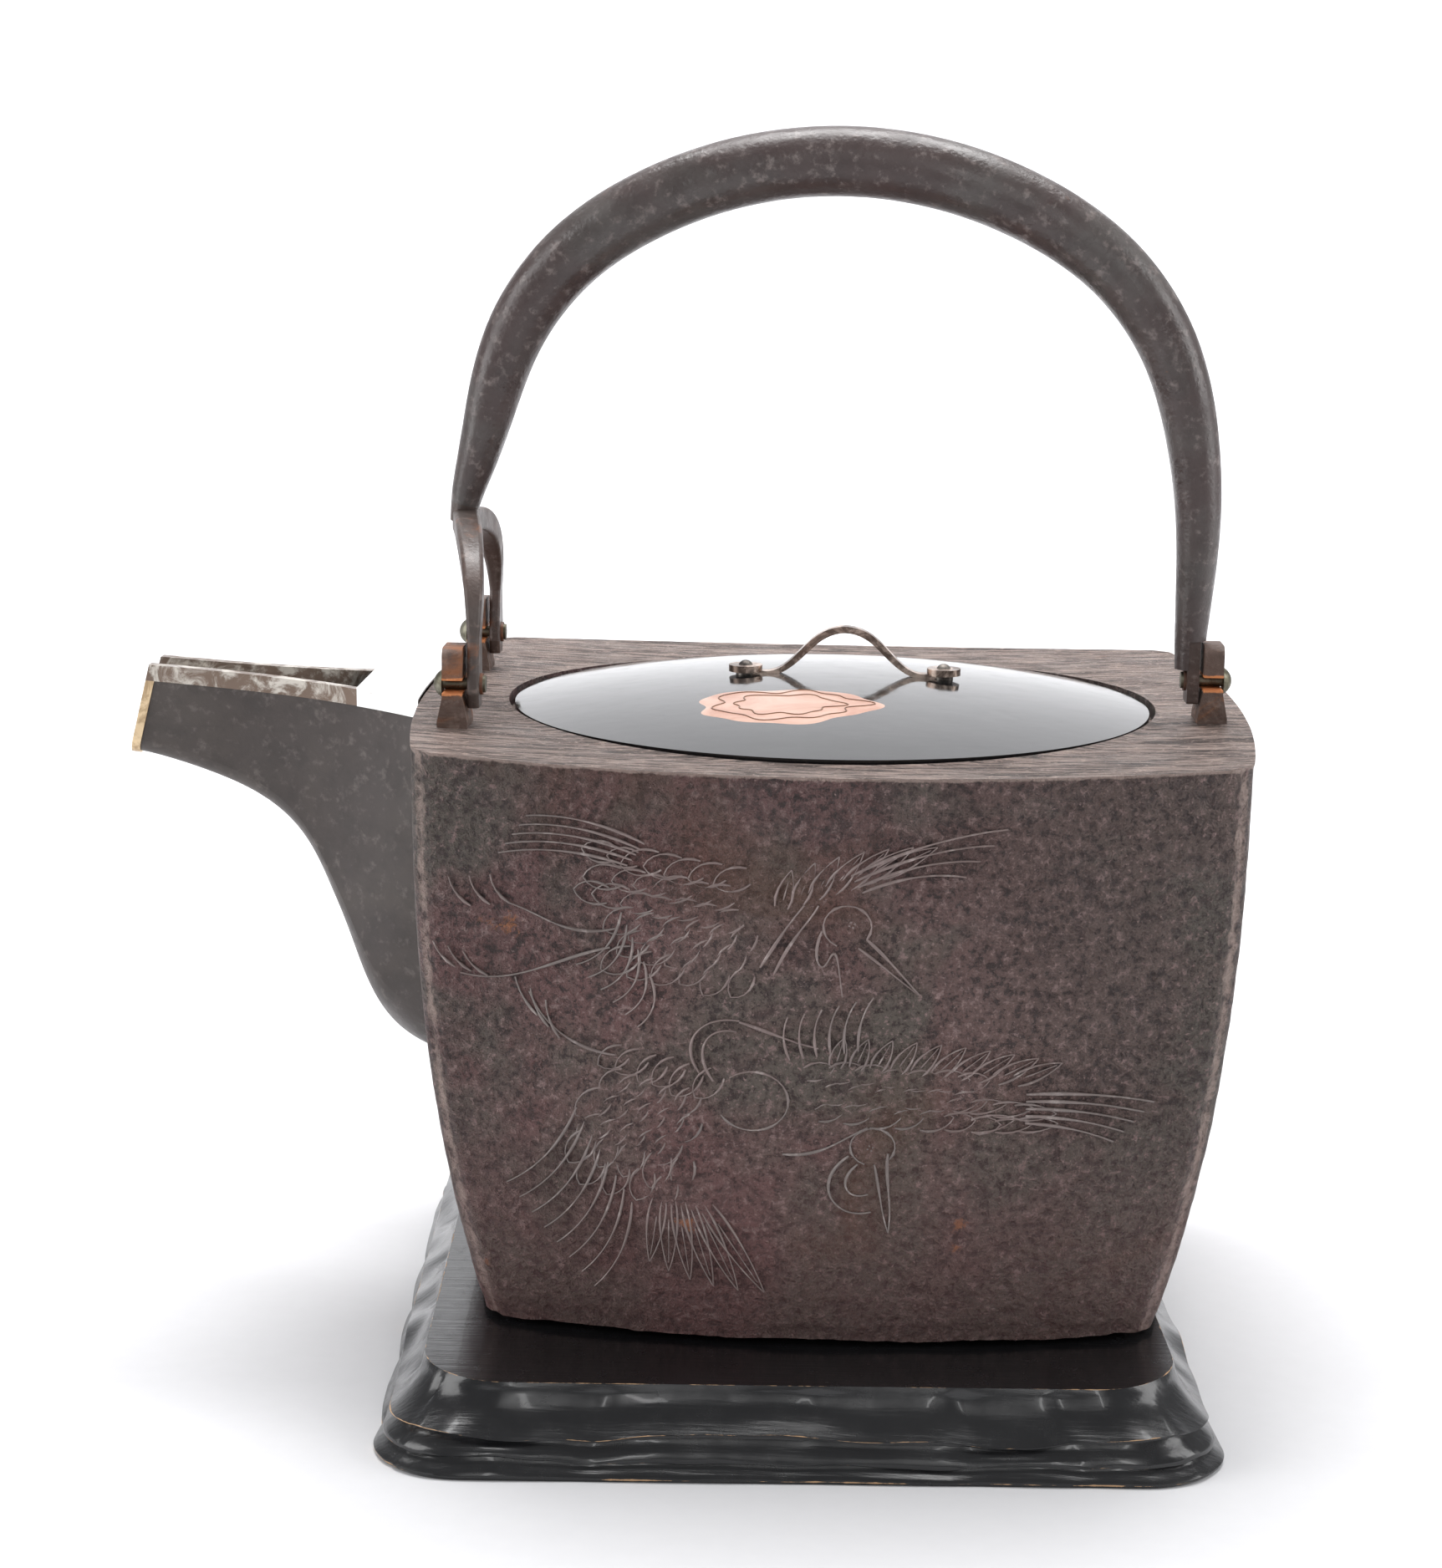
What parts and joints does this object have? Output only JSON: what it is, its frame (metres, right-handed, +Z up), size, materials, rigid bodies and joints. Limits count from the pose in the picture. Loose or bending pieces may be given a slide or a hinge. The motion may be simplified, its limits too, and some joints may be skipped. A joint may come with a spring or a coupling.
{
  "type": "teapot",
  "caption": "Square cast iron pouring kettle with an open side spout, a fixed forged hoop handle, a domed lacquered lid with a small bail, and a carved black wooden stand.",
  "frame": {"origin": "on the table, under the middle of the wooden stand", "axes": "+Z up; the spout points to -X; the face with the raised birds looks to -Y"},
  "size_m": [0.2197, 0.1765, 0.2349],
  "materials": {
    "pot_iron": "sandy rough cast, dark purple brown",
    "lug_iron": "rusty rough cast",
    "spout_iron": "smooth dark grey brown cast",
    "silver_band": "tarnished silver",
    "gilt_strip": "worn gilt edge",
    "silver_cover": "bright satin silver",
    "forged_iron": "forged, semi-gloss, grey brown",
    "bronze_pin": "green brown bronze",
    "rusty_washer": "rusty",
    "black_lacquer": "polished black lacquer",
    "bail_bronze": "worn silvery bronze",
    "bail_dark": "dark patinated metal",
    "stand_lacquer": "glossy black lacquer, chipped edges"
  },
  "bodies": {
    "stand": {"stand": "stand_lacquer"},
    "pot": {"pot_body": "pot_iron", "lug_front_left": "lug_iron", "lug_rear_left": "lug_iron", "lug_right": "lug_iron", "spout": "spout_iron", "spout_band_front": "silver_band", "spout_band_back": "silver_band", "spout_mouth_strip": "gilt_strip", "spout_bridge": "silver_cover"},
    "handle": {"handle_end_tab": "forged_iron", "handle_fork": "forged_iron", "handle_hoop": "forged_iron", "handle_pin_front_left": "bronze_pin", "handle_pin_rear_left": "bronze_pin", "handle_pin_right": "bronze_pin", "pin_washer_front_left": "rusty_washer", "pin_washer_rear_left": "rusty_washer", "pin_washer_right": "rusty_washer"},
    "lid": {"lid_bail": "bail_bronze", "lid_burr_washers": "bail_dark", "lid_disc": "black_lacquer", "lid_locating_ring": "black_lacquer", "lid_rivets": "bail_dark", "lid_rosettes": "bail_dark"}
  },
  "joints": [
    {"name": "pot_lift", "type": "slide", "parent": "stand", "child": "pot", "axis": [0, 0, 1], "range_m": [0, 0.08]},
    {"name": "lid_lift", "type": "slide", "parent": "pot", "child": "lid", "axis": [0, 0, 1], "range_m": [0, 0.034]},
    {"name": "handle_withdraw", "type": "slide", "parent": "pot", "child": "handle", "axis": [0, -1, 0], "range_m": [0, 0.03]}
  ]
}
